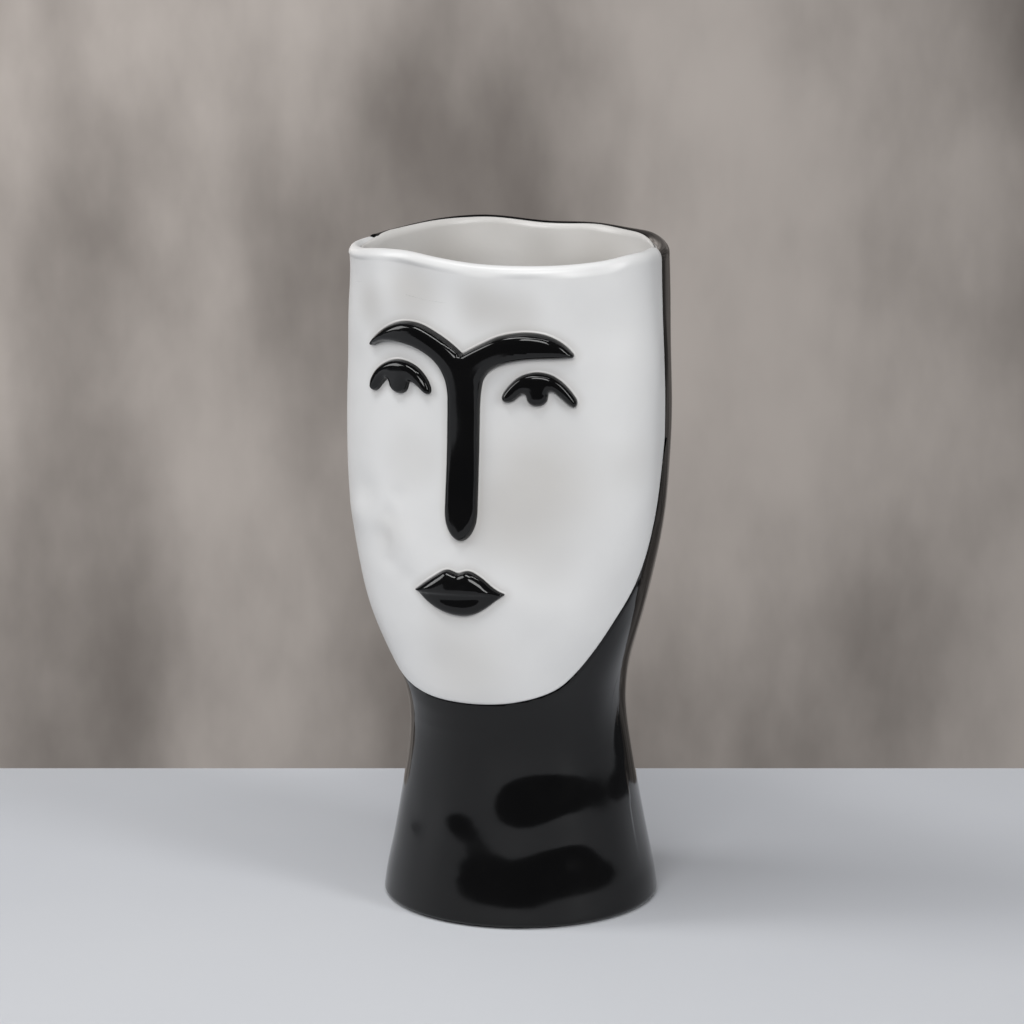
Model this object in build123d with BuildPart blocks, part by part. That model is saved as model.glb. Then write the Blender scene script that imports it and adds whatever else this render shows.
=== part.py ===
from build123d import *

from math import copysign
import os

os.makedirs("parts", exist_ok=True)

# A face vase in glazed stoneware, 29 cm tall. The origin is the middle of the foot on the table,
# +Z is up, the face looks to -Y and +X is the viewer's right. Lengths are in millimetres.

# Driving sizes of the whole vase
height = 290.5
head_width = 143.6
face_front = 61.0
head_back = 61.8
cheek_line = -19.0

chin_height = 98.8
chin_front = 59.4
jaw_height = 212.0
seam_line = -8.0

waist_height = 85.0
waist_width = 94.0
waist_front = 53.6
waist_back = 45.4
waist_line = -3.6

foot_width = 121.0

# Walls and seats
wall = 6.5
floor_thickness = 7.0
liner = 0.8
chin_step = 2.2
foot_ring_height = 3.6
foot_ring_width = 8.0
shell_lift = 0.8
rim_round = 2.4
foot_round = 2.0
overrun = 20.0

# Below the waist, as (height share, side share, front share, back share, middle share): each size
# goes from its value at the foot, share 1, to its value at the waist, share 0
neck_shares = (
    (0.00, 1.00, 1.00, 1.00, 1.00),
    (0.14, 0.88, 0.77, 0.87, 1.00),
    (0.29, 0.69, 0.44, 0.69, 1.00),
    (0.59, 0.34, -0.14, 0.33, 0.89),
    (0.82, 0.12, -0.29, 0.09, 0.47),
)

# Above the waist, as (height share, side share, front share, back share, middle share): each size
# goes from its value at the waist, share 0, to its value at the head, share 1
head_shares = (
    (0.000, 0.000, 0.00, 0.00, 0.00),
    (0.073, 0.065, 0.81, -0.02, 0.22),
    (0.146, 0.270, 1.16, 0.01, 0.65),
    (0.219, 0.495, 1.32, 0.11, 0.94),
    (0.316, 0.725, 1.41, 0.26, 1.00),
    (0.438, 0.915, 1.27, 0.41, 1.03),
    (0.560, 0.988, 1.08, 0.56, 0.99),
    (0.706, 1.000, 0.95, 0.73, 0.90),
    (0.852, 0.952, 0.95, 0.88, 0.91),
    (1.000, 0.925, 1.11, 1.00, 1.06),
)

# How far the neck's front stays back behind the chin at those heights, as shares of the step
step_shares = (0, 1.0, 1.0, 0.8, 0.4, 0, 0, 0, 0, 0)

# The seam seen from the side, from the cheek to the chin, as (share forward, share of the height)
seam_shares = (
    (0.00, 1.00),
    (0.16, 0.70),
    (0.30, 0.475),
    (0.46, 0.33),
    (0.57, 0.19),
    (0.66, 0.09),
    (0.76, 0.045),
    (0.88, 0.02),
    (1.00, 0.00),
)

# The waves of the rim, as (share of half the width, share of the wave), seen from the front
rim_wave = 4.0
front_wave_shares = (
    (-1.10, -0.40),
    (-0.85, -0.20),
    (-0.60, 0.55),
    (-0.42, 0.70),
    (-0.20, 0.35),
    (0.00, 0.12),
    (0.35, 0.05),
    (0.60, 0.24),
    (0.80, 0.60),
    (1.00, 1.15),
    (1.10, 1.20),
)
back_wave_shares = (
    (-1.10, -0.20),
    (-0.85, 0.22),
    (-0.70, 0.48),
    (-0.50, 0.45),
    (-0.20, -0.15),
    (0.20, 0.02),
    (0.60, 0.15),
    (1.00, 0.20),
    (1.10, 0.20),
)

# Places on the face seen from the front, as (share of half its width, share of its height over the chin)
brow_notch_share = (0, 0.802)
brow_crown_share = (0.348, 0.858)
left_brow_end_share = (0.696, 0.781)
left_brow_under_share = (0.432, 0.808)
right_brow_end_share = (0.689, 0.795)
right_brow_under_share = (0.427, 0.796)
brow_foot_share = (0, 0.768)
nose_tip_share = (0, 0.382)
lid_outer_share = (0.670, 0.692)
lid_crown_share = (0.450, 0.769)
lid_under_share = (0.450, 0.726)
lid_inner_share = (0.230, 0.701)
pupil_share = (0.450, 0.720)
left_mouth_share = (0.299, 0.260)
right_mouth_share = (0.299, 0.269)
mouth_middle_share = (0, 0.259)

# Brows and nose, one Y of clay: the brows part at a notch over the nose
brow_tip_round = 1.9
brow_bend = 11.0
notch_round = 1.2
nose_width = 14.6
nose_end_round_share = 0.93
brow_rise = 4.5
brow_round_share = 0.84

# Eyes: a crescent lid over a round pupil, cut as one piece
lid_end_width = 3.9
lid_end_round_share = 0.46
lid_rise = 3.5
lid_round_share = 0.56
pupil_width = 10.0
pupil_bend = 1.0

# Lips, cut as one piece with the mouth pressed in as a line
upper_lip = 9.7
lower_lip = 10.1
bow_reach = 4.6
bow_dip = 1.1
lip_swell = 0.9
lip_corner_round = 1.7
lip_rise = 4.0
lip_round_share = 0.94
mouth_width = 1.4
mouth_depth = 0.8
mouth_reach_share = 0.72


def between(start, end, share):
    return start + (end - start) * share


def on_face(place_share, hand=1):
    """A place on the face seen from the front, on the left, hand -1, or on the right, hand 1."""
    across, up = place_share
    return hand * across * head_width / 2, between(chin_height, height, up)


def stations(step):
    """The rings of the outer form, as (height, half width, middle, front, back)."""
    rings = []
    for rise, side, front, back, middle in neck_shares:
        rings.append(
            (
                waist_height * rise,
                between(waist_width, foot_width, side) / 2,
                between(waist_line, 0, middle),
                between(waist_front, foot_width / 2, front),
                between(waist_back, foot_width / 2, back),
            )
        )
    for (rise, side, front, back, middle), behind in zip(head_shares, step_shares):
        rings.append(
            (
                between(waist_height, height, rise),
                between(waist_width, head_width, side) / 2,
                between(waist_line, cheek_line, middle),
                between(waist_front, face_front, front) - step * behind,
                between(waist_back, head_back, back),
            )
        )
    return rings


def egg_form(step=0, inset=0):
    """A smooth body through the rings, each of two half ellipses, drawn in by the inset."""
    rings = stations(step)
    last = rings[-1]
    rings.append((height + overrun, *last[1:]))
    with BuildPart() as form:
        for level, half, middle, front, back in rings:
            with BuildSketch(Plane.XY.offset(level)):
                with BuildLine():
                    EllipticalCenterArc(
                        (0, middle), half - inset, front + middle - inset, 180, arc_size=180
                    )
                    EllipticalCenterArc((0, middle), half - inset, back - middle - inset, 0, arc_size=180)
                make_face()
        loft()
    return form.part


face_form = egg_form()
shell_form = egg_form(step=chin_step)
cavity_form = egg_form(inset=wall)
liner_form = egg_form(inset=wall + liner)
reach = head_width
top = height + overrun
rim_low = height - 2 * rim_wave


def above_rim(wave_shares, drop=0):
    """The air over a wavy rim."""
    with BuildPart() as air:
        with BuildSketch(Plane.XZ.offset(-reach)):
            with BuildLine():
                wave = Spline(
                    *[
                        (head_width / 2 * across, height - drop + rim_wave * rise)
                        for across, rise in wave_shares
                    ]
                )
                Polyline(wave @ 1, ((wave @ 1).X, top + overrun), ((wave @ 0).X, top + overrun), wave @ 0)
            make_face()
        extrude(amount=2 * reach)
    return air.part


def block(low, high):
    """A block as wide as the vase between two heights."""
    with BuildPart() as slice_of_room:
        with BuildSketch(Plane.XY.offset(low)):
            Rectangle(2 * reach, 2 * reach)
        extrude(amount=high - low)
    return slice_of_room.part


def rim_edges(ring):
    """The long edges round the top of a ring, outside and inside."""
    high = ring.edges().filter_by(lambda edge: min(vertex.Z for vertex in edge.vertices()) > rim_low)
    return high.filter_by(lambda edge: edge.length > head_width / 2)


def relief(outline, rise, softness):
    """The outline seen from the front as a slab of clay that follows the face, with a soft edge."""
    with BuildPart() as slab:
        add(outline)
        extrude(amount=reach, dir=(0, -1, 0))
        add(egg_form(inset=-rise), mode=Mode.INTERSECT)
        add(face_form, mode=Mode.SUBTRACT)
        front_face = slab.faces().sort_by(SortBy.AREA)[-2:].sort_by(Axis.Y)[0]
        fillet(front_face.edges(), softness)
    return slab.part


# Everything in front of the seam: the face panel's share of the head
with BuildPart() as face_side:
    with BuildSketch(Plane.YZ.offset(-reach)):
        with BuildLine():
            seam = Spline(
                *[
                    (between(seam_line, -chin_front, forward), between(chin_height, jaw_height, rise))
                    for forward, rise in seam_shares
                ],
                tangents=((0, -1), (-1, 0)),
            )
            Polyline(
                seam @ 1,
                (-reach, chin_height),
                (-reach, top + overrun),
                (seam_line, top + overrun),
                seam @ 0,
            )
        make_face()
    extrude(amount=2 * reach)

# Back of the head and the neck, one shell, glazed black
with BuildPart() as rear_shell:
    add(shell_form)
    add(cavity_form, mode=Mode.SUBTRACT)
    add(above_rim(back_wave_shares), mode=Mode.SUBTRACT)
    fillet(rim_edges(rear_shell), rim_round)
    add(block(-overrun, shell_lift), mode=Mode.SUBTRACT)
    fillet(rear_shell.edges().group_by(Axis.Z)[0].sort_by(SortBy.LENGTH)[-2:], foot_round)
    add(face_side.part, mode=Mode.SUBTRACT)
rear_shell.part.label = "rear_shell"

# The white face with its chin standing a step proud of the neck
with BuildPart() as face_panel:
    add(face_form)
    add(cavity_form, mode=Mode.SUBTRACT)
    add(above_rim(front_wave_shares), mode=Mode.SUBTRACT)
    fillet(rim_edges(face_panel), rim_round)
    add(face_side.part, mode=Mode.INTERSECT)
face_panel.part.label = "face_panel"

# White glaze over the inside of both, from the floor up to the round of the rim
lining_low = foot_ring_height + floor_thickness
with BuildPart() as hollow:
    add(liner_form)
    add(block(-overrun, lining_low + liner), mode=Mode.SUBTRACT)

with BuildPart() as glaze_lining:
    add(cavity_form)
    add(hollow.part, mode=Mode.SUBTRACT)
    add(block(-overrun, lining_low), mode=Mode.SUBTRACT)
    add(above_rim(back_wave_shares, drop=rim_round + rim_wave / 2), mode=Mode.SUBTRACT)
glaze_lining.part.label = "glaze_lining"

# The floor that holds the water, and the bare ring that the vase stands on
with BuildPart() as floor_slab:
    add(cavity_form)
    add(block(lining_low, top + overrun), mode=Mode.SUBTRACT)
    add(block(-overrun, foot_ring_height), mode=Mode.SUBTRACT)
floor_slab.part.label = "floor_slab"

with BuildPart() as foot_ring:
    add(cavity_form)
    add(block(foot_ring_height, top + overrun), mode=Mode.SUBTRACT)
    with BuildSketch():
        Circle(foot_width / 2 - wall - foot_ring_width)
    extrude(amount=foot_ring_height, mode=Mode.SUBTRACT)
foot_ring.part.label = "foot_ring"

# The brows and the nose in one Y of clay
notch = on_face(brow_notch_share)
foot_level = on_face(brow_foot_share)[1]
tip_level = on_face(nose_tip_share)[1]
brows = (
    (-1, left_brow_end_share, left_brow_under_share),
    (1, right_brow_end_share, right_brow_under_share),
)
with BuildSketch(Plane.XZ) as brow_outline:
    for hand, end_share, under_share in brows:
        end = on_face(end_share, hand)
        corner = (hand * nose_width / 2, foot_level)
        with BuildLine():
            ThreePointArc(notch, on_face(brow_crown_share, hand), end)
            ThreePointArc(end, on_face(under_share, hand), corner)
            Polyline(corner, (0, foot_level), notch)
        make_face()
    with Locations((0, (tip_level + foot_level) / 2)):
        Rectangle(nose_width, foot_level - tip_level)
    fillet(brow_outline.vertices().sort_by(Axis.X)[:1], brow_tip_round)
    fillet(brow_outline.vertices().sort_by(Axis.X)[-1:], brow_tip_round)
    fillet(brow_outline.vertices().sort_by(Axis.Y)[:2], nose_width / 2 * nose_end_round_share)
    fillet(brow_outline.vertices().sort_by_distance(notch)[:1], notch_round)
    for hand in (-1, 1):
        armpit = (hand * nose_width / 2, foot_level)
        fillet(brow_outline.vertices().sort_by_distance(armpit)[:1], brow_bend)

with BuildPart() as brow_and_nose:
    add(relief(brow_outline.sketch, brow_rise, brow_tip_round * brow_round_share))
brow_and_nose.part.label = "brow_and_nose"


def eye(hand):
    """A lid and its pupil, on one side of the nose."""
    outer, outer_level = on_face(lid_outer_share, hand)
    inner, inner_level = on_face(lid_inner_share, hand)
    end = hand * lid_end_width
    end_round = lid_end_width * lid_end_round_share
    with BuildSketch(Plane.XZ) as outline:
        with BuildLine():
            ThreePointArc(
                (outer, outer_level), on_face(lid_crown_share, hand), (inner, inner_level)
            )
            ThreePointArc(
                (outer - end, outer_level), on_face(lid_under_share, hand), (inner + end, inner_level)
            )
            Line((outer, outer_level), (outer - end, outer_level))
            Line((inner, inner_level), (inner + end, inner_level))
        make_face()
        fillet(outline.vertices(), end_round)
        pupil = on_face(pupil_share, hand)
        with Locations(Location((*pupil, 0), (0, 0, 90))):
            Circle(pupil_width / 2)
        fillet(outline.vertices().sort_by_distance(pupil)[:2], pupil_bend)
    return relief(outline.sketch, lid_rise, end_round * lid_round_share)


with BuildPart() as left_eye:
    add(eye(-1))
left_eye.part.label = "left_eye"

with BuildPart() as right_eye:
    add(eye(1))
right_eye.part.label = "right_eye"

# The lips, with the mouth as a shallow line between them
left_corner = on_face(left_mouth_share, -1)
right_corner = on_face(right_mouth_share)
mouth_level = (left_corner[1] + right_corner[1]) / 2
bow_level = mouth_level + upper_lip
with BuildSketch(Plane.XZ) as lip_outline:
    with BuildLine():
        for hand, corner in ((-1, left_corner), (1, right_corner)):
            SagittaArc(corner, (hand * bow_reach, bow_level), -hand * lip_swell)
        ThreePointArc((-bow_reach, bow_level), (0, bow_level - bow_dip), (bow_reach, bow_level))
        ThreePointArc(left_corner, (0, mouth_level - lower_lip), right_corner)
    make_face()
    fillet(lip_outline.vertices(), lip_corner_round)

mouth_middle = on_face(mouth_middle_share)
mouth_ends = [
    (across * mouth_reach_share, between(mouth_middle[1], level, mouth_reach_share))
    for across, level in (left_corner, right_corner)
]
with BuildSketch(Plane.XZ) as mouth_outline:
    with BuildLine():
        ThreePointArc(mouth_ends[0], mouth_middle, mouth_ends[1])
    trace(line_width=mouth_width)

with BuildPart() as mouth_line:
    add(mouth_outline.sketch)
    extrude(amount=reach, dir=(0, -1, 0))
    add(egg_form(inset=mouth_depth - lip_rise), mode=Mode.SUBTRACT)

with BuildPart() as lips:
    add(relief(lip_outline.sketch, lip_rise, lip_corner_round * lip_round_share))
    add(mouth_line.part, mode=Mode.SUBTRACT)
lips.part.label = "lips"

export_step(rear_shell.part, "parts/rear_shell.step")
export_step(face_panel.part, "parts/face_panel.step")
export_step(glaze_lining.part, "parts/glaze_lining.step")
export_step(floor_slab.part, "parts/floor_slab.step")
export_step(foot_ring.part, "parts/foot_ring.step")
export_step(brow_and_nose.part, "parts/brow_and_nose.step")
export_step(left_eye.part, "parts/left_eye.step")
export_step(right_eye.part, "parts/right_eye.step")
export_step(lips.part, "parts/lips.step")
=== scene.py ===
import math

import bpy
import numpy as np
from mathutils.geometry import delaunay_2d_cdt
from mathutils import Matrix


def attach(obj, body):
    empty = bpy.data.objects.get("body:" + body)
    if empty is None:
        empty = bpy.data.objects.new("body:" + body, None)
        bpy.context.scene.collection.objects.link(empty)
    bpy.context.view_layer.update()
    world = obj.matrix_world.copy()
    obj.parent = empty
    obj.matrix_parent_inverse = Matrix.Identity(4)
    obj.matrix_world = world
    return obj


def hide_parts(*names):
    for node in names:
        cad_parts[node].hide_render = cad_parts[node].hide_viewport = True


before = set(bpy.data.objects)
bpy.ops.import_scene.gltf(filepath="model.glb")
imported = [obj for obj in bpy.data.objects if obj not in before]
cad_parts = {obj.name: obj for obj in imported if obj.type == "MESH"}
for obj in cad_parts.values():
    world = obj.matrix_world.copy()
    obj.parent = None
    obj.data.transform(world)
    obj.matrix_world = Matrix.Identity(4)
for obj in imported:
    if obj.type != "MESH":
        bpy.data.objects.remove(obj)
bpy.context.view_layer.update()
mm = 0.001

# The outside of the vase: half width, middle, front and back reach of each ring, by height, in mm
form = {
    "height": [0, 12, 25, 50, 70, 85, 100, 115, 130, 150, 175, 200, 230, 260, 292, 306],
    "half": [
        60.5, 58.8, 56.1, 51.6, 48.6, 47.0, 48.6, 53.7, 59.3, 65.0, 69.7, 71.35, 71.65, 70.5, 69.8, 69.7,
    ],
    "middle": [
        0, 0, 0, -0.4, -1.9, -3.6, -7.0, -13.6, -18.0, -19.0, -19.4, -18.8, -17.4, -17.6, -20.0, -21.0,
    ],
    "front": [
        60.5, 58.9, 56.6, 52.6, 51.6, 53.6, 59.6, 62.2, 63.4, 64.0, 63.0, 61.6, 60.6, 60.6, 61.8, 62.4,
    ],
    "back": [
        60.5, 58.5, 55.6, 50.4, 46.8, 45.4, 45.0, 45.6, 47.2, 49.6, 52.2, 54.6, 57.4, 59.8, 61.8, 62.6,
    ],
    "neckStep": [0, 0, 0, 0, 0, 0, 2.2, 2.2, 1.8, 0.9, 0, 0, 0, 0, 0, 0],
    "wall": 6.5,
    "foot": 0.8,
    "footRound": 2.2,
    "rimRound": 3.3,
    "rimLevel": 290,
}

# The seam seen from the side, cheek to chin, in mm
seam = {
    "line": -8.0,
    "jaw": 212.0,
    "reach": [-8.0, -16.2, -23.4, -31.6, -37.3, -41.9, -47.1, -53.2, -57.0, -59.4],
    "height": [212.0, 178.0, 152.6, 136.2, 120.3, 109.0, 103.9, 101.1, 99.8, 99.3],
    "round": 1.4,
    "groove": 0.7,
    "grooveWide": 7,
    "top": 300,
}

# The rim of each piece seen from the front, in mm, and how the white one dips at its corners
rim = {
    "frontAcross": [-72, -61, -48, -37, -30, -20, -10, 0, 10, 26, 41, 55, 62, 67, 72],
    "front": [
        289.6, 290.0, 292.0, 293.1, 293.3, 292.6, 291.7, 291.0, 290.6, 290.7, 291.2, 292.3, 293.3, 294.35,
        294.45,
    ],
    "backAcross": [-72, -66, -58, -50, -38, -28, -14, 8, 34, 45, 52, 72],
    "back": [290.0, 290.7, 292.0, 292.6, 292.4, 291.2, 289.7, 290.3, 290.6, 291.3, 291.2, 291.0],
    "cornerLong": 4.6,
    "cornerDrop": 2.2,
}

# Thumb marks in the clay, as across, height, radius and depth, in mm. They fade out beside the seam.
marks = {
    "front": [
        (-56, 279, 13, 1.1), (-34, 270, 12, -0.5), (-27, 283, 10, 0.9), (-8, 276, 13, 1.0),
        (10, 281, 11, -0.5), (27, 274, 15, 0.9), (48, 281, 12, -0.5), (-60, 240, 14, 0.6), (-51, 187, 8, 0.9),
        (-57, 175, 7, -0.9), (-47, 166, 8, 0.6), (-27, 205, 20, 0.7), (30, 212, 18, 0.6), (52, 190, 16, -0.5),
        (40, 160, 16, 0.6), (-28, 144, 12, 0.6), (28, 128, 14, 0.6), (-12, 116, 12, 0.6), (58, 246, 14, -0.6),
        (8, 168, 8, -0.3), (-32, 187, 5, 0.5), (-37, 178, 5, 0.7), (-40, 168, 5, 0.8), (-37, 158, 5, 0.7),
        (-28, 153, 5, 0.5), (-29, 170, 8, -0.6), (22, 46, 13, -0.8), (27, 76, 16, 0.9), (-26, 62, 13, 0.5),
        (-30, 30, 12, -0.4), (50, 44, 14, -0.6), (-6, 40, 10, -0.3), (36, 51, 10, -0.5), (36, 33, 9, 0.4),
    ],
    "inside": [
        (-38, 276, 13, 1.2), (-16, 281, 10, -0.7), (6, 273, 14, 1.1), (34, 277, 13, 1.2),
        (52, 283, 10, -0.5), (-50, 262, 14, -0.6), (20, 255, 18, 0.8),
    ],
    "wander": 0.3,
    "wanderLong": 60,
    "fade": 8,
}


def splineThrough(places, values):  # a natural cubic through the points
    x, y = np.array(places, float), np.array(values, float)
    step = np.diff(x)
    count = len(x)
    matrix, right = np.eye(count), np.zeros(count)
    for k in range(1, count - 1):
        matrix[k, k - 1 : k + 2] = step[k - 1], 2 * (step[k - 1] + step[k]), step[k]
        right[k] = 6 * ((y[k + 1] - y[k]) / step[k] - (y[k] - y[k - 1]) / step[k - 1])
    bend = np.linalg.solve(matrix, right)

    def value(at):
        at = np.clip(np.asarray(at, float), x[0], x[-1])
        k = np.clip(np.searchsorted(x, at) - 1, 0, count - 2)
        h, a, b = step[k], x[k + 1] - at, at - x[k]
        return (
            (bend[k] * a**3 + bend[k + 1] * b**3) / (6 * h)
            + (y[k] / h - bend[k] * h / 6) * a
            + (y[k + 1] / h - bend[k + 1] * h / 6) * b
        )

    return value


ring = {name: splineThrough(form["height"], form[name]) for name in ("half", "middle", "front", "back")}
rimFront = splineThrough(rim["frontAcross"], rim["front"])
rimBack = splineThrough(rim["backAcross"], rim["back"])


def neckStep(z):  # how far the neck stands back behind the white face
    return np.interp(z, form["height"], form["neckStep"])


def angleAtDepth(y, z):  # the angle from the front at which the ring passes that depth
    middle = ring["middle"](z)
    gap = middle - y
    reach = np.where(gap >= 0, ring["front"](z) + middle, ring["back"](z) - middle)
    return np.arccos(np.clip(gap / reach, -1, 1))


def onRing(turn, z, step=0, inset=0):  # turn 0 is the front, 1 and -1 the seams, 2 the back
    edge = angleAtDepth(seam["line"], z)
    angle = np.where(np.abs(turn) <= 1, np.abs(turn) * edge, edge + (np.abs(turn) - 1) * (math.pi - edge))
    middle = ring["middle"](z)
    front = ring["front"](z) - step + middle - inset
    back = ring["back"](z) - middle - inset
    x = np.sign(turn) * np.sin(angle) * (ring["half"](z) - inset)
    y = middle - np.cos(angle) * np.where(np.cos(angle) > 0, front, back)
    return np.stack([x, y, z + 0 * x], -1)


def clayMarks(points, pressed=marks["front"], side=-1):  # how far the hand pressed the clay in, in mm
    x, y, z = points[..., 0], points[..., 1], points[..., 2]
    depth = np.zeros_like(x)
    for across, height, radius, deep in pressed:
        near = ((x - across) ** 2 + (z - height) ** 2) / radius**2
        depth += deep * np.exp(-near) * (y * side > 0)
    a, b = np.arctan2(x, -y), z / marks["wanderLong"]
    depth += marks["wander"] * (
        np.sin(3 * a + 1.3 * b) * np.cos(2.1 * b + 0.7)
        + 0.7 * np.sin(5 * a - 2.4 * b + 1.1) * np.sin(3.3 * b)
        + 0.5 * np.sin(8 * a + 1.9 * b + 2.0) * np.cos(5.2 * b + 0.4)
    )
    return depth


def normals(grid, wrap=False):  # unit normals of a grid of points, rows by columns
    along = np.gradient(grid, axis=0)
    across = np.gradient(grid, axis=1)
    if wrap:
        across = (np.roll(grid, -1, 1) - np.roll(grid, 1, 1)) / 2
    n = np.cross(across, along)
    return n / np.maximum(np.linalg.norm(n, axis=-1, keepdims=True), 1e-9)


def lengthAlong(line):  # the way from a line's start to each of its points
    return np.concatenate([[0], np.cumsum(np.linalg.norm(np.diff(line, axis=0), axis=1))])


def distanceTo(line, points, wrap=False, batch=4000):  # from each point to a line of short straight runs
    flat = points.reshape(-1, points.shape[-1])
    starts = line if wrap else line[:-1]
    ends = np.roll(line, -1, 0) if wrap else line[1:]
    runs = ends - starts
    lengths = np.maximum((runs**2).sum(1), 1e-12)
    nearest = np.full(len(flat), np.inf)
    for at in range(0, len(flat), batch):
        part = flat[at : at + batch]
        offset = part[:, None, :] - starts[None]
        share = np.clip((offset * runs[None]).sum(-1) / lengths, 0, 1)
        gap = offset - share[..., None] * runs[None]
        nearest[at : at + batch] = np.sqrt((gap**2).sum(-1)).min(1)
    return nearest.reshape(points.shape[:-1])


def meshFrom(name, points, faces):
    mesh = bpy.data.meshes.new(name)
    mesh.from_pydata((np.asarray(points) * mm).tolist(), [], faces)
    mesh.shade_smooth()
    mesh.update()
    piece = bpy.data.objects.new(name, mesh)
    bpy.context.scene.collection.objects.link(piece)
    return piece


def gridFaces(rows, columns, wrap=False):
    faces = []
    for i in range(rows - 1):
        for j in range(columns if wrap else columns - 1):
            k = (j + 1) % columns
            faces.append((i * columns + j, i * columns + k, (i + 1) * columns + k, (i + 1) * columns + j))
    return faces


def paint(piece, label, values):  # a value for each point, in metres
    layer = piece.data.attributes.new(label, "FLOAT", "POINT")
    layer.data.foreach_set("value", (np.ravel(values) * mm).astype(np.float32))


# The seam as a line in space, from the left rim round the chin to the right rim
seamDepth = splineThrough(range(len(seam["reach"])), seam["reach"])
seamHeight = splineThrough(range(len(seam["height"])), seam["height"])
cheekToChin = np.linspace(0, len(seam["reach"]) - 1, 400)
halfDepth, halfHeight = seamDepth(cheekToChin), seamHeight(cheekToChin)
halfTurn = angleAtDepth(halfDepth, halfHeight) / angleAtDepth(seam["line"], halfHeight)
halfTurn[-1] = 0
chinUpTurn, chinUpHeight = halfTurn[::-1], halfHeight[::-1]
jawTurn = np.concatenate([-halfTurn, chinUpTurn[1:]])
jawHeight = np.concatenate([halfHeight, chinUpHeight[1:]])
jawLine = onRing(jawTurn, jawHeight)
jawLength = lengthAlong(jawLine)
sideHeight = np.linspace(seam["jaw"], seam["top"], 90)
seamLine = np.concatenate([onRing(-1, sideHeight)[::-1], jawLine[1:-1], onRing(1, sideHeight)])

# Outlines of the relief seen from the front, across and height in mm, and how each slab rises
relief = {
    "browAndNose": {
        "points": [
            (0.3, 252.5), (1.3, 253.1), (4.5, 254.9), (9.2, 257.4), (15.8, 260.6), (22.9, 262.4),
            (29.7, 262.9), (36.4, 261.8), (42.1, 258.8), (45.6, 255.4), (46.8, 253.5), (46.3, 252.4),
            (44.5, 252.1), (36.4, 251.7), (29.8, 251.3), (22.9, 250.1), (16.5, 248.0), (12.1, 245.2),
            (9.6, 241.6), (8.6, 237.0), (8.1, 231.0), (7.9, 220.0), (7.8, 205.0), (7.8, 190.0),
            (7.7, 183.0), (6.9, 178.8), (5.0, 175.0), (2.6, 172.7), (0.5, 172.0), (-1.7, 172.7),
            (-4.1, 175.0), (-6.0, 178.8), (-6.8, 183.0), (-6.9, 190.0), (-6.8, 205.0), (-6.7, 220.0),
            (-6.6, 230.0), (-6.7, 235.0), (-7.8, 240.6), (-10.9, 245.9), (-15.6, 249.7), (-23.1, 252.7),
            (-32.0, 253.8), (-39.4, 253.0), (-44.4, 251.1), (-46.4, 250.2), (-47.2, 250.5), (-46.7, 252.0),
            (-43.2, 256.1), (-37.5, 260.2), (-29.2, 263.3), (-20.5, 263.2), (-10.7, 259.4), (-4.6, 255.9),
            (-1.1, 253.3), (-0.3, 252.6),
        ],
        "rise": 4.35,
        "edge": 3.0,
        "crown": 0.35,
    },
    "leftEye": {
        "points": [
            (-46.7, 232.0), (-46.9, 234.4), (-46.0, 237.2), (-42.8, 241.6), (-37.6, 244.9), (-32.0, 246.4),
            (-25.8, 245.9), (-20.9, 243.8), (-17.1, 240.2), (-15.0, 236.3), (-15.0, 234.2), (-16.3, 233.2),
            (-18.2, 233.8), (-21.0, 235.9), (-24.2, 237.5), (-25.6, 237.6), (-26.2, 236.4), (-27.1, 233.9),
            (-29.0, 232.3), (-31.1, 231.8), (-33.4, 232.4), (-35.3, 234.1), (-36.3, 236.6), (-37.0, 237.4),
            (-38.4, 236.7), (-40.8, 234.3), (-42.9, 232.0), (-45.0, 230.9),
        ],
        "rise": 3.5,
        "edge": 2.4,
        "crown": 0.3,
    },
    "rightEye": {
        "points": [
            (48.1, 232.6), (48.0, 234.4), (46.2, 237.6), (42.4, 242.1), (38.4, 244.9), (33.8, 246.1),
            (29.8, 245.8), (25.0, 243.9), (21.5, 240.9), (18.3, 236.8), (17.6, 234.6), (18.4, 233.1),
            (20.2, 232.6), (22.4, 233.2), (25.0, 235.4), (26.9, 236.7), (27.7, 235.9), (28.4, 233.6),
            (30.3, 231.9), (32.4, 231.5), (34.6, 232.0), (36.3, 233.6), (36.9, 235.9), (37.1, 237.7),
            (38.4, 237.9), (41.0, 235.8), (43.6, 233.2), (45.6, 231.6), (47.2, 231.2),
        ],
        "rise": 3.5,
        "edge": 2.4,
        "crown": 0.3,
    },
    "lipPair": {
        "points": [
            (-21.7, 148.6), (-20.6, 149.5), (-15.8, 153.1), (-10.8, 156.6), (-7.2, 158.7), (-4.9, 159.1),
            (-2.6, 158.5), (-0.7, 158.0), (1.3, 158.7), (3.6, 159.4), (6.2, 159.0), (10.7, 156.5),
            (15.1, 153.0), (18.4, 151.1), (20.3, 150.4), (18.9, 149.2), (16.2, 147.1), (11.5, 143.4),
            (7.0, 140.7), (2.4, 139.5), (-3.6, 139.6), (-9.4, 141.1), (-15.4, 144.1), (-19.4, 147.1),
        ],
        "rise": 4.0,
        "edge": 4.4,
        "crown": 0.8,
        "mouth": {"height": 148.6, "slope": 0.055, "above": 1.0, "below": 5.0, "deep": 1.5, "fade": 2.6},
    },
}


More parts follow.
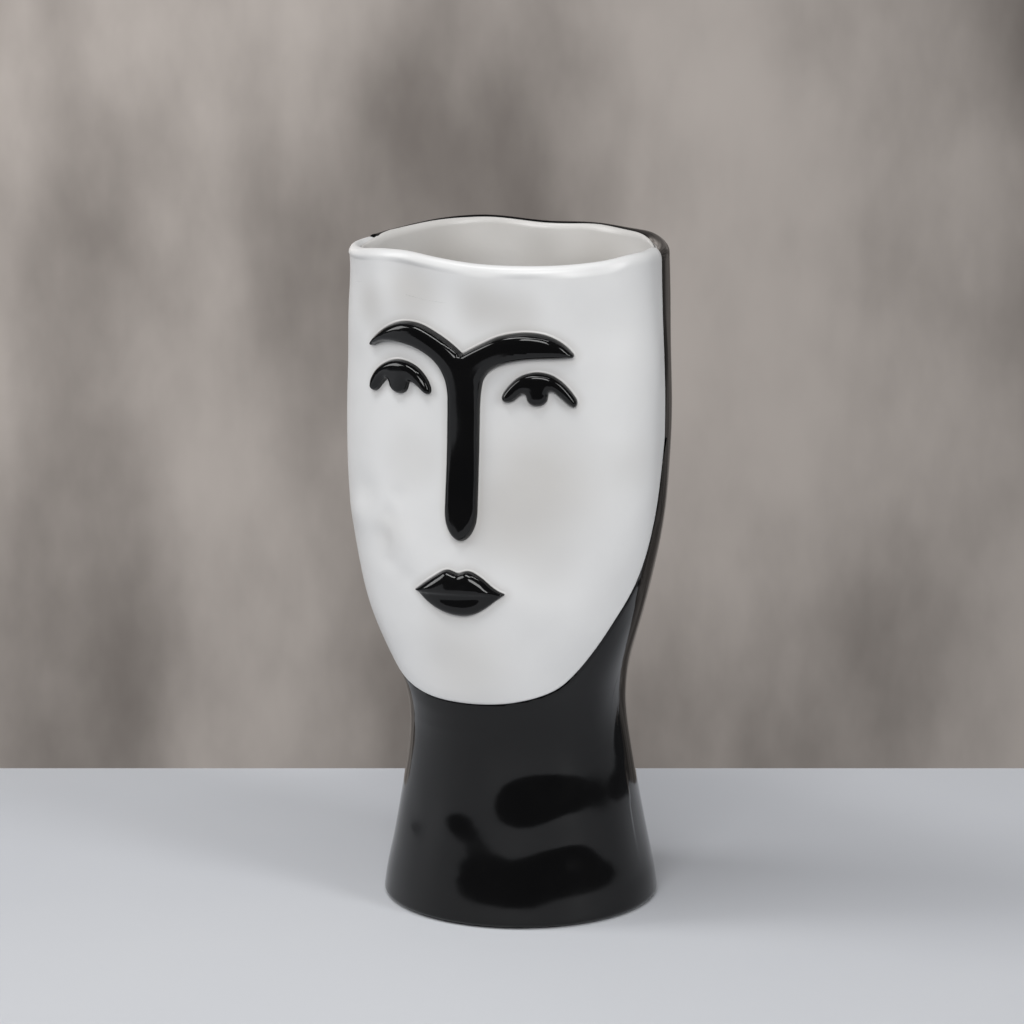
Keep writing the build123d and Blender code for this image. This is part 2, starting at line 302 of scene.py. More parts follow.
def closedCurve(points, spacing=0.42, steps=12):  # a smooth closed line through the points
    p = np.array(points, float)
    count = len(p)
    line = []
    for k in range(count):
        a, b, c, d = p[(k - 1) % count], p[k], p[(k + 1) % count], p[(k + 2) % count]
        t1 = max(np.linalg.norm(b - a), 1e-6) ** 0.5
        t2 = t1 + max(np.linalg.norm(c - b), 1e-6) ** 0.5
        t3 = t2 + max(np.linalg.norm(d - c), 1e-6) ** 0.5
        for t in np.linspace(t1, t2, steps + 1)[:-1]:
            ab = (t1 - t) / t1 * a + t / t1 * b
            bc = (t2 - t) / (t2 - t1) * b + (t - t1) / (t2 - t1) * c
            cd = (t3 - t) / (t3 - t2) * c + (t - t2) / (t3 - t2) * d
            abc = (t2 - t) / t2 * ab + t / t2 * bc
            bcd = (t3 - t) / (t3 - t1) * bc + (t - t1) / (t3 - t1) * cd
            line.append((t2 - t) / (t2 - t1) * abc + (t - t1) / (t2 - t1) * bcd)
    whole = np.array([*line, line[0]])
    length = lengthAlong(whole)
    at = np.linspace(0, length[-1], int(length[-1] / spacing) + 1)[:-1]
    return np.stack([np.interp(at, length, whole[:, 0]), np.interp(at, length, whole[:, 1])], -1)


def insideOf(line, points):  # which points lie inside a closed line
    x, y = points[:, 0], points[:, 1]
    inside = np.zeros(len(points), bool)
    for (x1, y1), (x2, y2) in zip(line, np.roll(line, -1, 0)):
        if y1 != y2:
            inside ^= ((y1 > y) != (y2 > y)) & (x < (x2 - x1) * (y - y1) / (y2 - y1) + x1)
    return inside


def reliefGaps(points, reachOut=14.0):  # how far each point lies outside the relief, seen from the front
    seen = points[:, [0, 2]]
    gaps = np.full(len(points), reachOut)
    for shape in relief.values():
        line = closedCurve(shape["points"])
        low, high = line.min(0) - reachOut, line.max(0) + reachOut
        close = (seen > low).all(1) & (seen < high).all(1) & (points[:, 1] < seam["line"])
        away = distanceTo(line, seen[close], wrap=True)
        away = np.where(insideOf(line, seen[close]), -away, away)
        gaps[close] = np.minimum(gaps[close], away)
    return gaps


# The white face: columns run from the seam up to the rim, then over it and down inside
panel = {
    "columns": 290,
    "rows": 200,
    "closeSteps": [0, 0.075, 0.1875, 0.34375, 0.53125, 0.75, 1],
    "closeWide": 1.8,
    "span": 150,
    "overRim": 14,
    "rimRound": 4.6,
    "rimSink": 0.9,
    "inside": 24.0,
    "insideRows": 4,
    "skirt": 4.5,
}


def rampedShares(count, span):  # 0 to 1, with closer steps in the first millimetres
    close = np.array(panel["closeSteps"]) * panel["closeWide"] / span
    return np.concatenate([close, np.linspace(close[-1], 1, count - len(close) + 1)[1:]])


def facePanel():
    halfLong = jawLength[-1] / 2
    half = rampedShares(panel["columns"] // 2, halfLong)
    across = np.concatenate([half, 2 - half[::-1][1:]]) - 1
    at = (across + 1) * halfLong
    lowTurn, lowHeight = np.interp(at, jawLength, jawTurn), np.interp(at, jawLength, jawHeight)
    short = np.maximum(1 - (1 - np.abs(across)) * halfLong / rim["cornerLong"], 0)
    rounded = rim["cornerDrop"] * (1 - np.sqrt(1 - short**2))
    topX = onRing(across, form["rimLevel"])[:, 0]
    topHeight = rimFront(topX) - panel["rimRound"] - rounded
    up = rampedShares(panel["rows"], panel["span"])[:, None]
    outer = onRing(lowTurn + (across - lowTurn) * up, lowHeight + (topHeight - lowHeight) * up)
    outward = normals(outer)
    toSeam = distanceTo(seamLine, outer)
    radius = seam["round"]
    drop = radius - np.sqrt(np.maximum(radius**2 - np.maximum(radius - toSeam, 0) ** 2, 0))
    press = clayMarks(outer) * np.clip(toSeam / marks["fade"], 0, 1)
    outer = outer - outward * (drop + press)[..., None]
    sunk = drop[-1]
    rows = [outer[0] - outward[0] * panel["skirt"], *outer]
    for k in range(1, panel["overRim"] + 1):  # the round of the rim
        a = math.pi * k / panel["overRim"]
        inset = form["wall"] / 2 * (1 - math.cos(a))
        row = onRing(across, topHeight + panel["rimRound"] * math.sin(a), inset=inset)
        row -= outward[-1] * (sunk * max(math.cos(a), 0))[:, None]
        row[:, 2] -= sunk * panel["rimSink"] * math.sin(a)
        rows.append(row)
    for k in range(1, panel["insideRows"] + 1):
        height = topHeight - panel["inside"] * k / panel["insideRows"]
        rows.append(onRing(across, height, inset=form["wall"]))
    grid = np.array(rows)
    outward = normals(grid)
    left = grid[:, 0] - outward[:, 0] * panel["skirt"]
    right = grid[:, -1] - outward[:, -1] * panel["skirt"]
    grid = np.concatenate([left[:, None], grid, right[:, None]], 1)
    points = grid.reshape(-1, 3)
    piece = meshFrom("faceSlab", points, gridFaces(*grid.shape[:2]))
    paint(piece, "reliefGap", reliefGaps(points))
    return piece


facePiece = facePanel()
print("face slab made")

# The black shell: full rings from the foot to the rim, tucked in where the face covers it
shell = {
    "columns": 320,
    "besideSeam": [0, 0.004, 0.012, 0.03],
    "rows": 200,
    "footInside": 12,
    "footRows": 6,
    "overRim": 12,
    "inside": 14.0,
    "insideRows": 3,
    "tuck": 2.6,
    "tuckOver": 1.5,
    "frontRim": 14.0,
    "steepFrom": 150.0,
    "marksFrom": 4,
    "marksFull": 24,
}


def snapToSeam(turns, heights):  # moves the points next to the jaw seam on to it, so that no cell crosses it
    for j in range(turns.shape[1]):  # where the seam runs across the columns
        atSeam = np.interp(abs(turns[0, j]), chinUpTurn, chinUpHeight)
        if abs(turns[0, j]) < 1 and atSeam < shell["steepFrom"]:
            heights[np.argmin(np.abs(heights[:, j] - atSeam)), j] = atSeam
    for i in range(heights.shape[0]):  # and where it runs across the rows
        atSeam = np.interp(heights[i], chinUpHeight, chinUpTurn)
        for side in (-1, 1):
            j = np.argmin(np.abs(turns[i] - side * atSeam))
            if shell["steepFrom"] < heights[i, j] < seam["jaw"]:
                turns[i, j] = side * atSeam[j]


def rearShell():
    side = np.array(shell["besideSeam"])
    quarter = shell["columns"] // 4
    toFront, toBack = np.linspace(0, 1, quarter - 3), np.linspace(1, 2, quarter)
    half = np.unique(np.concatenate([toFront, 1 - side, 1 + side, toBack]))
    turn = np.concatenate([-half[::-1][:-1], half[:-1]])  # from the back round the front to the back
    topX = onRing(turn, form["rimLevel"])[:, 0]
    lowFront = np.where(np.abs(turn) < 0.9995, shell["frontRim"], 0)
    topHeight = rimBack(topX) - form["rimRound"] - lowFront
    rows = [onRing(turn, height, inset=form["wall"]) for height in (shell["footInside"], form["foot"])]
    for k in range(shell["footRows"] + 1):  # the round of the foot
        a = math.pi / 2 * k / shell["footRows"]
        height = form["foot"] + form["footRound"] * (1 - math.cos(a))
        rows.append(onRing(turn, height, inset=form["footRound"] * (1 - math.sin(a))))
    low = form["foot"] + form["footRound"]
    heights = low + (topHeight - low) * np.linspace(0, 1, shell["rows"])[1:, None]
    turns = turn + 0 * heights
    snapToSeam(turns, heights)
    outer = onRing(turns, heights, step=neckStep(heights))
    outward = normals(outer, wrap=True)
    toSeam = distanceTo(seamLine, outer)
    seamAt = np.interp(heights, chinUpHeight, chinUpTurn, left=-1, right=1)
    covered = (np.abs(turns) < seamAt - 1e-4) & (heights > chinUpHeight[0])
    tucked = np.where(covered, np.clip(toSeam / shell["tuckOver"], 0, 1) * shell["tuck"], 0)
    groove = seam["groove"] * np.exp(-toSeam / seam["grooveWide"])
    groove = np.where(heights > shell["steepFrom"], groove, 0)
    fromFoot = (heights - shell["marksFrom"]) / (shell["marksFull"] - shell["marksFrom"])
    press = clayMarks(outer) * np.where(covered, 1, np.clip(toSeam / marks["fade"], 0, 1))
    press = press * np.clip(fromFoot, 0, 1)
    outer = outer - outward * (tucked + groove + press)[..., None]
    rows.extend(outer)
    for k in range(1, shell["overRim"] + 1):  # the round of the rim
        a = math.pi * k / shell["overRim"]
        inset = form["wall"] / 2 * (1 - math.cos(a))
        row = onRing(turn, topHeight + form["rimRound"] * math.sin(a), inset=inset)
        row -= outward[-1] * ((groove[-1] + press[-1]) * (1 - k / shell["overRim"]))[:, None]
        rows.append(row)
    for k in range(1, shell["insideRows"] + 1):
        height = topHeight - shell["inside"] * k / shell["insideRows"]
        rows.append(onRing(turn, height, inset=form["wall"]))
    grid = np.array(rows)
    return meshFrom("blackShell", grid.reshape(-1, 3), gridFaces(*grid.shape[:2], wrap=True))


shellPiece = rearShell()
print("black shell made")

# The white glaze inside, from the floor up to just under the rim. Its edge angles say how far it
# comes up on to the round of the rim, by turn: 180 is the inner wall, 90 the top.
lining = {
    "columns": 240,
    "rows": 130,
    "thick": 0.8,
    "floor": 11.4,
    "floorRings": [0.2, 0.4, 0.6, 0.75, 0.85],
    "corner": 6.0,
    "cornerStart": 0.87,
    "cornerRows": 8,
    "frontToBack": 60,
    "marksFade": 12,
    "edgeTurn": [-2, -1.5, -1.1, -0.9, 0.7, 0.97, 1.05, 1.25, 1.6, 1.85, 2],
    "edgeAngle": [128, 128, 102, 135, 135, 160, 178, 168, 132, 118, 128],
    "startAngle": 178,
    "edgeRows": 10,
    "thinOver": 0.3,
    "thinEnd": 0.04,
}


def insideGlaze():
    turn = np.linspace(-2, 2, lining["columns"] + 1)[:-1]
    topX = onRing(turn, form["rimLevel"])[:, 0]
    front = 1 / (1 + np.exp((np.abs(turn) - 1) * lining["frontToBack"]))
    rise = panel["rimRound"] * front + form["rimRound"] * (1 - front)
    top = rimFront(topX) * front + rimBack(topX) * (1 - front) - rise
    full = form["wall"] + lining["thick"]
    low = lining["floor"] + lining["corner"]
    foot = onRing(turn, low, inset=full)
    rows = [foot * [share, share, 0] + [0, 0, lining["floor"]] for share in lining["floorRings"]]
    for k in range(1, lining["cornerRows"] + 1):  # the round where the floor meets the wall
        a = math.pi / 2 * k / lining["cornerRows"]
        share = lining["cornerStart"] + (1 - lining["cornerStart"]) * math.sin(a)
        rows.append(foot * [share, share, 0] + [0, 0, lining["floor"] + lining["corner"] * (1 - math.cos(a))])
    for k in range(1, lining["rows"]):
        height = low + (top - low) * k / (lining["rows"] - 1)
        place = onRing(turn, height, inset=full)
        fade = np.clip(np.minimum(height - low, top - height) / lining["marksFade"], 0, 1)
        press = clayMarks(place, marks["inside"], 1) * fade
        rows.append(place - normals(np.array([rows[-1], place]), wrap=True)[1] * press[:, None])
    ends = np.interp(turn, lining["edgeTurn"], lining["edgeAngle"])
    for share in np.linspace(0.05, 1, lining["edgeRows"]):  # up on to the round of the rim
        a = np.radians(lining["startAngle"] + (ends - lining["startAngle"]) * share)
        proud = lining["thick"] * min(1, (1 + lining["thinEnd"] - share) / lining["thinOver"])
        inset = form["wall"] / 2 * (1 - np.cos(a)) - proud * np.cos(a)
        rows.append(onRing(turn, top + (rise + proud) * np.sin(a), inset=inset))
    grid = np.array(rows)
    points = np.vstack([grid.reshape(-1, 3), [0, 0, lining["floor"]]])
    faces = [tuple(reversed(face)) for face in gridFaces(*grid.shape[:2], wrap=True)]
    for j in range(len(turn)):  # the middle of the floor, closed by a fan
        faces.append((len(points) - 1, j, (j + 1) % len(turn)))
    return meshFrom("insideGlaze", points, faces)


liningPiece = insideGlaze()
print("inside glaze made")

# The net of triangles in each relief slab: rings close to its edge, as shares of the edge's width, then
# even cells, in mm. It is drawn ahead of the face and laid on it by the node tree, sunk in a little.
slabNet = {
    "rings": [0.04, 0.14, 0.3, 0.5, 0.72, 1.0],
    "ringKept": 0.97,
    "apart": 0.22,
    "cell": 0.9,
    "cellHigh": 0.866,
    "margin": 0.4,
    "ahead": -120,
    "sunk": 0.3,
}


def flatSlab(name, shape):  # the slab's outline filled with triangles, flat in front of the face
    line = closedCurve(shape["points"])
    run = np.roll(line, -1, 0) - np.roll(line, 1, 0)
    run /= np.linalg.norm(run, axis=1, keepdims=True)
    inward = np.stack([-run[:, 1], run[:, 0]], -1)
    area = 0.5 * np.sum(line[:, 0] * np.roll(line[:, 1], -1) - np.roll(line[:, 0], -1) * line[:, 1])
    if area < 0:
        inward = -inward
    rings = [line]
    for gap in np.array(slabNet["rings"]) * shape["edge"]:
        candidate = line + inward * gap
        far = distanceTo(line, candidate, wrap=True) > gap * slabNet["ringKept"]
        candidate = candidate[insideOf(line, candidate) & far]
        apart = np.linalg.norm(candidate - np.roll(candidate, 1, 0), axis=1) > slabNet["apart"]
        rings.append(candidate[apart])
    low, high = line.min(0), line.max(0)
    cell = slabNet["cell"]
    stepUp = cell * slabNet["cellHigh"]
    xs, ys = np.meshgrid(np.arange(low[0], high[0], cell), np.arange(low[1], high[1], stepUp))
    xs[1::2] += cell / 2
    middle = np.stack([xs.ravel(), ys.ravel()], -1)
    middle = middle[insideOf(line, middle)]
    middle = middle[distanceTo(line, middle, wrap=True) > shape["edge"] + slabNet["margin"]]
    points = np.vstack([*rings, middle])
    made = delaunay_2d_cdt([tuple(p) for p in points], [], [list(range(len(line)))], 1, 1e-6)
    flat = np.array([tuple(v) for v in made[0]])
    faces = [tuple(face) for face in made[2]]
    first = flat[list(faces[0])]
    if np.cross(first[1] - first[0], first[2] - first[0]) <= 0:
        faces = [tuple(reversed(face)) for face in faces]
    ahead = np.full(len(flat), slabNet["ahead"])
    piece = meshFrom(name, np.stack([flat[:, 0], ahead, flat[:, 1]], -1), faces)
    inset = distanceTo(line, flat, wrap=True)
    inset[: len(line)] = 0
    lift = np.zeros(len(flat))
    if "mouth" in shape:  # the line pressed in between the lips
        mouth = shape["mouth"]
        away = flat[:, 1] - (mouth["height"] + mouth["slope"] * flat[:, 0])
        wide = np.where(away > 0, mouth["above"], mouth["below"])
        lift = -mouth["deep"] * np.exp(-((away / wide) ** 2)) * np.clip(inset / mouth["fade"], 0, 1)
    paint(piece, "inset", inset)
    paint(piece, "lift", lift)
    return piece


def layOnFaceTree():  # lays a flat slab on the face and rounds its edge
    tree = bpy.data.node_groups.new("layOnFace", "GeometryNodeTree")
    inputs = {
        "Slab": "NodeSocketGeometry",
        "Face": "NodeSocketObject",
        "Rise": "NodeSocketFloat",
        "Edge": "NodeSocketFloat",
        "Crown": "NodeSocketFloat",
        "Glaze": "NodeSocketMaterial",
    }
    for label, kind in inputs.items():
        tree.interface.new_socket(label, in_out="INPUT", socket_type=kind)
    tree.interface.new_socket("Slab", in_out="OUTPUT", socket_type="NodeSocketGeometry")
    start, end = tree.nodes.new("NodeGroupInput"), tree.nodes.new("NodeGroupOutput")

    def add(kind, settings, links):
        node = tree.nodes.new(kind)
        for label, value in settings.items():
            setattr(node, label, value)
        for key, value in links.items():
            if isinstance(value, bpy.types.NodeSocket):
                tree.links.new(value, node.inputs[key])
            else:
                node.inputs[key].default_value = value
        return node

    def sums(operation, first, second=0.0):
        return add("ShaderNodeMath", {"operation": operation}, {0: first, 1: second}).outputs[0]

    def painted(label):
        node = add("GeometryNodeInputNamedAttribute", {"data_type": "FLOAT"}, {"Name": label})
        return node.outputs["Attribute"]

    inset, lift = painted("inset"), painted("lift")
    edge = start.outputs["Edge"]
    share = sums("MINIMUM", sums("DIVIDE", inset, edge), 1.0)
    left = sums("SUBTRACT", 1.0, share)
    bow = sums("SQRT", sums("MAXIMUM", sums("SUBTRACT", 1.0, sums("MULTIPLY", left, left)), 0.0))
    inner = sums("MINIMUM", sums("DIVIDE", inset, sums("MULTIPLY", edge, 2.0)), 1.0)
    bowed = sums("MULTIPLY", bow, start.outputs["Rise"])
    crowned = sums("MULTIPLY", inner, start.outputs["Crown"])
    pressed = sums("ADD", sums("ADD", bowed, crowned), lift)
    high = sums("SUBTRACT", pressed, slabNet["sunk"] * mm)
    face = add("GeometryNodeObjectInfo", {"transform_space": "ORIGINAL"}, {"Object": start.outputs["Face"]})
    normal = add("GeometryNodeInputNormal", {}, {})
    ray = add(
        "GeometryNodeRaycast",
        {"data_type": "FLOAT_VECTOR", "mapping": "INTERPOLATED"},
        {
            "Target Geometry": face.outputs["Geometry"],
            "Attribute": normal.outputs[0],
            "Ray Direction": (0, 1, 0),
            "Ray Length": 1.0,
        },
    )
    scaled = add("ShaderNodeVectorMath", {"operation": "SCALE"}, {0: ray.outputs["Attribute"], "Scale": high})
    hit = ray.outputs["Hit Position"]
    place = add("ShaderNodeVectorMath", {"operation": "ADD"}, {0: hit, 1: scaled.outputs[0]})
    slab = {"Geometry": start.outputs["Slab"], "Position": place.outputs[0]}
    moved = add("GeometryNodeSetPosition", {}, slab)
    real = add("GeometryNodeRealizeInstances", {}, {"Geometry": moved.outputs[0]})
    glazed = {"Geometry": real.outputs[0], "Material": start.outputs["Glaze"]}
    tree.links.new(add("GeometryNodeSetMaterial", {}, glazed).outputs[0], end.inputs["Slab"])
    return tree


class Wire:  # a shader socket that takes part in sums
    def __init__(self, glaze, socket):
        self.glaze = glaze
        self.socket = socket

    def sums(self, operation, first, second):
        return self.glaze.node("ShaderNodeMath", {"operation": operation}, {0: first, 1: second})["Value"]

    def __add__(self, other):
        return self.sums("ADD", self, other)

    def __radd__(self, other):
        return self.sums("ADD", other, self)

    def __sub__(self, other):
        return self.sums("SUBTRACT", self, other)

    def __rsub__(self, other):
        return self.sums("SUBTRACT", other, self)

    def __mul__(self, other):
        return self.sums("MULTIPLY", self, other)

    def __rmul__(self, other):
        return self.sums("MULTIPLY", other, self)


class Made:  # a node whose outputs are wires
    def __init__(self, glaze, node):
        self.glaze = glaze
        self.plain = node

    def __getitem__(self, key):
        return Wire(self.glaze, self.plain.outputs[key])


class Glaze:
    def __init__(self, name):
        self.material = bpy.data.materials.new(name)
        self.material.use_nodes = True
        self.tree = self.material.node_tree
        self.tree.nodes.clear()
        self.place = self.node("ShaderNodeTexCoord", {}, {})["Object"]

    def node(self, kind, settings, values):
        node = self.tree.nodes.new(kind)
        for label, value in settings.items():
            setattr(node, label, value)
        for key, value in values.items():
            if isinstance(value, Wire):
                self.tree.links.new(value.socket, node.inputs[key])
            else:
                node.inputs[key].default_value = value
        return Made(self, node)

    def noise(self, scale, detail, stretch=(1, 1, 1)):
        place = self.place
        if stretch != (1, 1, 1):
            place = self.node("ShaderNodeMapping", {}, {"Vector": self.place, "Scale": stretch})["Vector"]
        return self.node("ShaderNodeTexNoise", {}, {"Vector": place, "Scale": scale, "Detail": detail})["Fac"]

    def ramp(self, value, low, high, atLow, atHigh, kind="SMOOTHSTEP"):  # a soft step between two values
        values = {"Value": value, "From Min": low, "From Max": high, "To Min": atLow, "To Max": atHigh}
        return self.node("ShaderNodeMapRange", {"interpolation_type": kind}, values)["Result"]

    def blend(self, share, first, second):
        mix = self.node("ShaderNodeMix", {"data_type": "RGBA"}, {"Factor": share})
        for key, value in ((6, first), (7, second)):
            if isinstance(value, Wire):
                self.tree.links.new(value.socket, mix.plain.inputs[key])
            else:
                mix.plain.inputs[key].default_value = (*value, 1)
        return Wire(self, mix.plain.outputs[2])

    def rise(self, height, distance, strength, under=None):
        values = {"Height": height, "Distance": distance, "Strength": strength}
        if under is not None:
            values["Normal"] = under
        return self.node("ShaderNodeBump", {}, values)["Normal"]

    def waves(self, look, under=None):  # look is a scale, a detail, a depth and a strength
        scale, detail, distance, strength = look
        return self.rise(self.noise(scale, detail), distance, strength, under)

    def finish(self, **sockets):
        values = {label.replace("_", " "): value for label, value in sockets.items()}
        shader = self.node("ShaderNodeBsdfPrincipled", {}, values)
        self.node("ShaderNodeOutputMaterial", {}, {"Surface": shader["BSDF"]})
        return self.material


# The black glaze. Its pools give the shade and the roughness; waves and skin are a scale, a detail, a
# depth in m and a strength.
blackLook = {
    "poolScale": 55,
    "dark": (0.0018, 0.0018, 0.002),
    "light": (0.0036, 0.0035, 0.0035),
    "waves": (26, 1, 0.001, 0.42),
    "skin": (130, 1, 0.00006, 0.3),
}


def blackGlaze():
    glaze = Glaze("blackGlaze")
    pool = glaze.noise(blackLook["poolScale"], 3)
    shade = glaze.blend(pool, blackLook["dark"], blackLook["light"])
    skin = glaze.waves(blackLook["skin"], glaze.waves(blackLook["waves"]))
    return glaze.finish(Base_Color=shade, Roughness=0.05 + 0.06 * pool, IOR=1.4, Normal=skin)


# The white glaze: patches of painted shade, soft greyer patches that stand for the shade in dents on the face
# and inside the vase, as a place on the vase, a radius in mm and a share of grey, a halo round the relief,
# partly painted shade cast by the relief and partly a real change in the glaze beside it, in mm, fine specks,
# and the lip of glaze beside the relief, in m. Waves and skin are as in the black glaze.
whiteLook = {
    "cloudScale": 26,
    # painted shade: greyer patches that stand for the shade of dents on the face and on the inside wall
    "patches": [
        ((31, -56, 196), 31, 0.65), ((14, -62, 180), 20, 0.45), ((34, -52, 165), 16, 0.25),
        ((-26, -60, 205), 16, 0.25), ((-36, -54, 170), 11, 0.3), ((-24, -58, 276), 15, 0.6),
        ((8, -61, 274), 13, 0.5), ((24, -60, 270), 12, 0.42), ((0, -60, 118), 22, 0.45),
        ((60, -30, 205), 14, 0.3), ((-46, -46, 268), 12, 0.5), ((-10, -60, 140), 12, 0.2),
        ((-48, 24, 268), 24, 0.9), ((18, 52, 268), 22, 0.9), ((-12, 56, 270), 16, 0.6),
    ],
    "patchShade": (0.47, 0.455, 0.435),
    "patchFade": 1.5,
    # a halo of painted shade cast by the relief, partly a real change in the glaze beside it
    "halo": 4.5,
    "haloShare": 0.26,
    "haloShade": (0.40, 0.37, 0.335),
    "speckScale": 260,
    "speckShare": 0.12,
    "speckShade": (0.42, 0.38, 0.33),
    "speckFrom": 0.02,
    "speckTo": 0.08,
    "lipAt": 0.0002,
    "lipNarrow": 2200,
    "lipDeep": 0.0003,
    "lipStrength": 0.7,
    "waves": (24, 2, 0.0014, 0.6),
    "skin": (600, 3, 0.00006, 0.3),
}


def whiteGlaze(name, dark, light):
    glaze = Glaze(name)
    cloud = glaze.noise(whiteLook["cloudScale"], 4)
    gap = glaze.node("ShaderNodeAttribute", {"attribute_name": "reliefGap"}, {})["Fac"]
    shade = glaze.blend(cloud, dark, light)
    # painted shade: each patch greys the glaze towards its middle
    for middle, radius, share in whiteLook["patches"]:
        values = {0: glaze.place, 1: [side * mm for side in middle]}
        reach = glaze.node("ShaderNodeVectorMath", {"operation": "DISTANCE"}, values)["Value"]
        near = glaze.ramp(reach, 0.0, radius * mm * whiteLook["patchFade"], share, 0.0, "SMOOTHERSTEP")
        shade = glaze.blend(near * (0.55 + 0.9 * cloud), shade, whiteLook["patchShade"])
    # the halo: painted shade beside the relief, partly the glaze's own change there
    close = glaze.ramp(gap, 0.0, whiteLook["halo"] * mm, whiteLook["haloShare"], 0.0)
    shade = glaze.blend(close, shade, whiteLook["haloShade"])
    cells = {"Vector": glaze.place, "Scale": whiteLook["speckScale"]}
    speck = glaze.node("ShaderNodeTexVoronoi", {"feature": "F1"}, cells)["Distance"]
    dot = glaze.ramp(speck, whiteLook["speckFrom"], whiteLook["speckTo"], whiteLook["speckShare"], 0.0)
    shade = glaze.blend(dot, shade, whiteLook["speckShade"])
    away = (gap - whiteLook["lipAt"]) * whiteLook["lipNarrow"]
    lip = glaze.node("ShaderNodeMath", {"operation": "EXPONENT"}, {0: 0.0 - away * away})["Value"]
    edged = glaze.rise(lip, whiteLook["lipDeep"], whiteLook["lipStrength"])
    skin = glaze.waves(whiteLook["skin"], glaze.waves(whiteLook["waves"], edged))
    return glaze.finish(Base_Color=shade, Roughness=0.24 + 0.14 * cloud, IOR=1.46, Normal=skin)


def bareClay():
    glaze = Glaze("bareClay")
    grain = glaze.noise(900, 4)
    shade = glaze.blend(glaze.noise(40, 3), (0.55, 0.49, 0.41), (0.67, 0.61, 0.53))
    skin = glaze.rise(grain, 0.0002, 0.6)
    return glaze.finish(Base_Color=shade, Roughness=0.75 + 0.15 * grain, Normal=skin)


black = blackGlaze()
white = whiteGlaze("whiteGlaze", (0.63, 0.63, 0.628), (0.74, 0.74, 0.735))
# painted shade: the inside is the same white glaze, given a darker, warmer copy for the shade inside the vase
inner = whiteGlaze("shadedInnerGlaze", (0.58, 0.57, 0.555), (0.73, 0.725, 0.715))
clay = bareClay()

layTree = layOnFaceTree()
sockets = {item.name: item.identifier for item in layTree.interface.items_tree if item.in_out == "INPUT"}
reliefPieces = {}
for name, shape in relief.items():
    slab = flatSlab(name, shape)
    modifier = slab.modifiers.new("lay", "NODES")
    modifier.node_group = layTree
    modifier[sockets["Face"]] = facePiece
    for label in ("rise", "edge", "crown"):
        modifier[sockets[label.title()]] = shape[label] * mm
    modifier[sockets["Glaze"]] = black
    bpy.context.view_layer.update()
    laid = bpy.data.meshes.new_from_object(slab.evaluated_get(bpy.context.evaluated_depsgraph_get()))
    slab.modifiers.clear()
    slab.data = laid
    laid.shade_smooth()
    reliefPieces[name] = slab
print("relief laid on the face")

for piece, glaze, slotName, nodes in (
    (facePiece, white, "white_glaze", ["face_panel"]),
    (shellPiece, black, "black_glaze", ["rear_shell"]),
    (liningPiece, inner, "white_glaze", ["glaze_lining"]),
    (reliefPieces["browAndNose"], black, "black_glaze", ["brow_and_nose"]),
    (reliefPieces["leftEye"], black, "black_glaze", ["left_eye"]),
    (reliefPieces["rightEye"], black, "black_glaze", ["right_eye"]),
    (reliefPieces["lipPair"], black, "black_glaze", ["lips"]),
):
    piece.data.materials.clear()
    piece.data.materials.append(glaze)
    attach(piece, "root")
    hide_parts(*nodes)
for name in ("floor_slab", "foot_ring"):
    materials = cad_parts[name].data.materials
    if len(materials) == 0:
        materials.append(clay)
    for index in range(len(materials)):
        materials[index] = clay
print("pieces dressed")

# The stage: a pale table whose far edge crosses the picture, and a warm grey wall behind it, in metres
stageSizes = {
    "half": 4.0,
    "front": -0.72,
    "tableEnd": 0.19,
    "wall": 3.2,
    "low": -2.5,
    "high": 3.5,
    "cloudScale": 1.5,
    "cloudFrom": 0.34,
    "cloudTo": 0.66,
}
shot = {
    "azimuth": 24.0,
    "away": 2058,
    "height": 653,
    "pitch": 13.18,
    "focal": 4861,
    "shift": -8.77,
    "pixels": 1024,
    "sensor": 36,
}
shotTurn = math.radians(shot["azimuth"])


def onStage(across, deep, high):  # metres across and into the picture, as mm in the frame
    x = across * math.cos(shotTurn) - deep * math.sin(shotTurn)
    y = across * math.sin(shotTurn) + deep * math.cos(shotTurn)
    return (x / mm, y / mm, high / mm)


def flatSheet(name, first, last, dark, light, stretch):  # first and last edge, each as depth and height
    half = stageSizes["half"]
    corners = [(-half, *first), (half, *first), (half, *last), (-half, *last)]
    piece = meshFrom(name, [onStage(*corner) for corner in corners], [(0, 1, 2, 3)])
    glaze = Glaze(name)
    cloud = glaze.noise(stageSizes["cloudScale"], 6, stretch)
    cloud = glaze.ramp(cloud, stageSizes["cloudFrom"], stageSizes["cloudTo"], 0.0, 1.0)
    piece.data.materials.append(glaze.finish(Base_Color=glaze.blend(cloud, dark, light), Roughness=0.75))


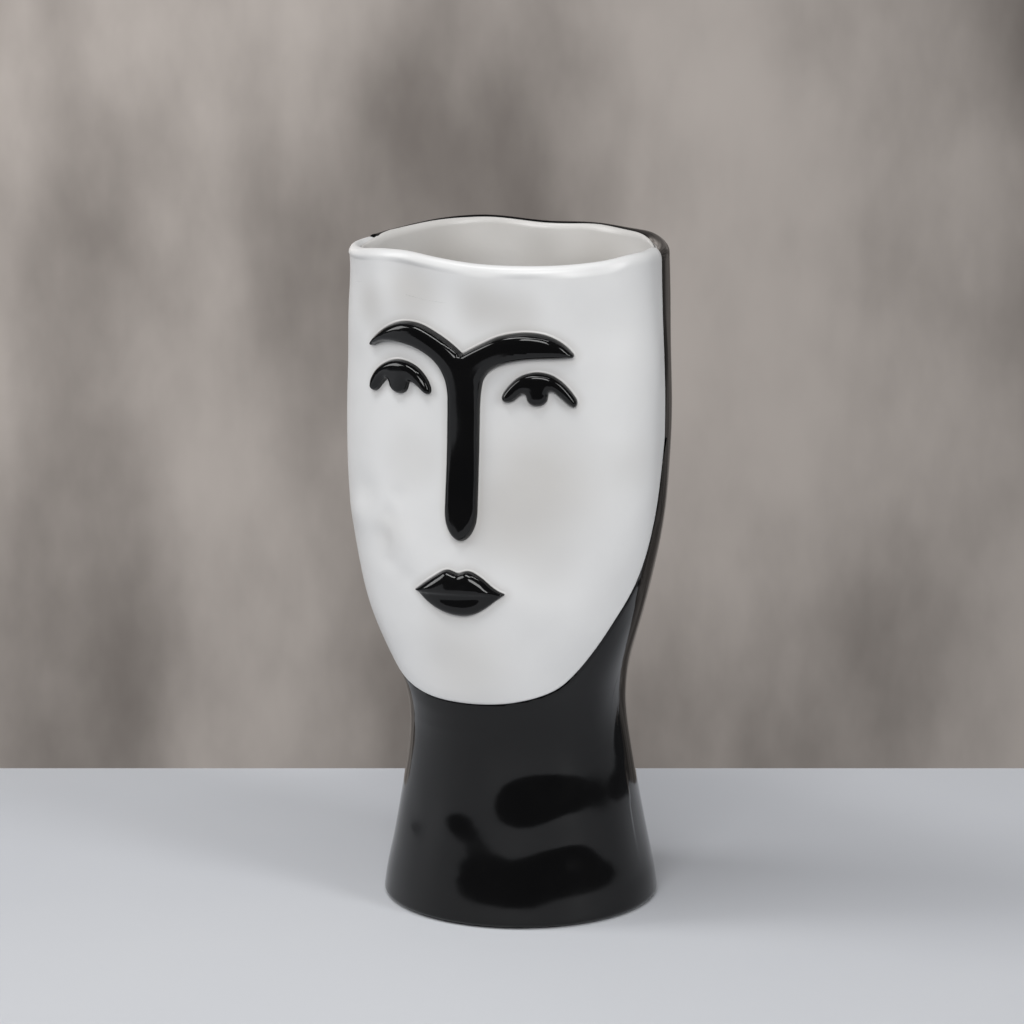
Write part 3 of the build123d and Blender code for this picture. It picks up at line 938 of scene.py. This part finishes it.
tableFront, tableEnd = (stageSizes["front"], 0), (stageSizes["tableEnd"], 0)
wallFoot, wallTop = (stageSizes["wall"], stageSizes["low"]), (stageSizes["wall"], stageSizes["high"])
flatSheet("paleTable", tableFront, tableEnd, (0.55, 0.565, 0.60), (0.59, 0.603, 0.63), (1, 1, 1))
flatSheet("greyWall", wallFoot, wallTop, (0.28, 0.245, 0.222), (0.80, 0.725, 0.668), (1.5, 1.5, 0.8))

lamps = [  # name, place, aim, size, watts
    ("overhead", (-0.35, -0.75, 1.9), (0, 0, 0.2), (1.1, 0.32), 12),
    ("overheadStrip", (0.45, -0.5, 1.8), (0, 0, 0.2), (0.8, 0.08), 3.5),
    ("leftWindow", (-2.0, -0.9, 1.2), (0, 0, 0.15), (0.9, 1.5), 24),
    ("rightCard", (1.9, -0.6, 1.0), (0, 0, 0.15), (0.5, 1.4), 17),
    ("frontFill", (0.8, -2.8, 2.0), (0, 0, 0.2), (1.8, 1.1), 54),
    ("backdropWash", (-2.6, 1.5, 1.0), (-2.6, 2.6, -0.4), (1.5, 0.4), 28),
]
for name, place, aim, size, watts in lamps:
    light = bpy.data.lights.new(name, "AREA")
    light.shape = "RECTANGLE"
    light.size, light.size_y = size
    light.energy = watts
    lamp = bpy.data.objects.new(name, light)
    bpy.context.scene.collection.objects.link(lamp)
    lamp.location = place
    x, y, z = np.array(aim) - np.array(place)
    lamp.rotation_euler = (math.atan2(math.hypot(x, y), -z), 0, math.atan2(-x, y))

world = bpy.data.worlds.new("room")
world.use_nodes = True
background = world.node_tree.nodes["Background"]
background.inputs["Color"].default_value = (0.9, 0.93, 1.0, 1)
background.inputs["Strength"].default_value = 0.06
bpy.context.scene.world = world

camera = bpy.data.cameras.new("shot")
camera.sensor_fit = "HORIZONTAL"
camera.sensor_width = shot["sensor"]
camera.lens = shot["sensor"] * shot["focal"] / shot["pixels"]
camera.shift_x = shot["shift"] / shot["pixels"]
camera.clip_end = 50
viewer = bpy.data.objects.new("shot", camera)
bpy.context.scene.collection.objects.link(viewer)
away = shot["away"] * mm
viewer.location = (math.sin(shotTurn) * away, -math.cos(shotTurn) * away, shot["height"] * mm)
viewer.rotation_euler = (math.radians(90 - shot["pitch"]), 0, shotTurn)
bpy.context.scene.camera = viewer
bpy.context.scene.view_settings.view_transform = "Standard"
print("stage and camera set")
